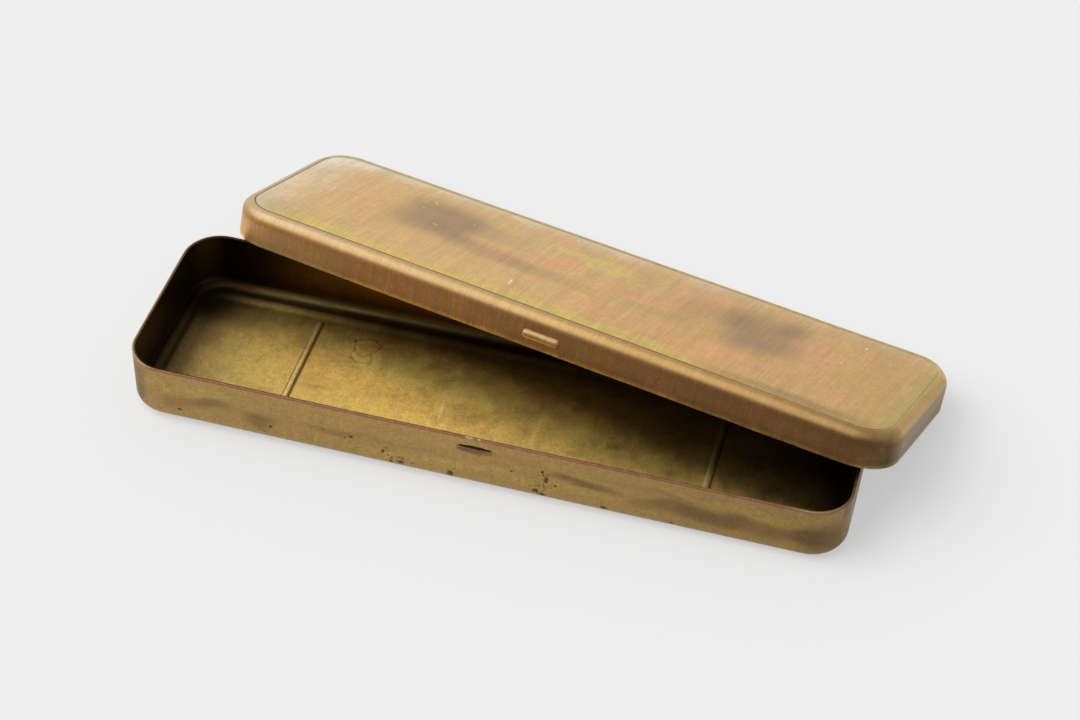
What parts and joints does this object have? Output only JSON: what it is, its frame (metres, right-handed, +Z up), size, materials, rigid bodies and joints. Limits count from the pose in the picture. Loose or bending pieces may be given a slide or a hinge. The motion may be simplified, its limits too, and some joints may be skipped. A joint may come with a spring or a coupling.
{
  "type": "pencil case",
  "caption": "Flat brass pencil case: a long open tray with round corners, and a slightly larger lift-off lid resting askew on its rim.",
  "frame": {"origin": "middle of the flat face under the tray, which the case stands on", "axes": "+X along the tray's long side, +Y towards the side where the lid leans, +Z up"},
  "size_m": [0.1996, 0.1036, 0.0286],
  "materials": {
    "tray_brass": "aged, mottled olive brown, satin",
    "lid_brass": "fine brushed across its width, lightly tarnished, satin"
  },
  "bodies": {
    "tray": {"tray": "tray_brass"},
    "lid": {"lid": "lid_brass"}
  },
  "joints": [
    {"name": "lid_lift", "type": "slide", "parent": "tray", "child": "lid", "axis": [0, 0, 1], "range_m": [0, 0.06]}
  ]
}
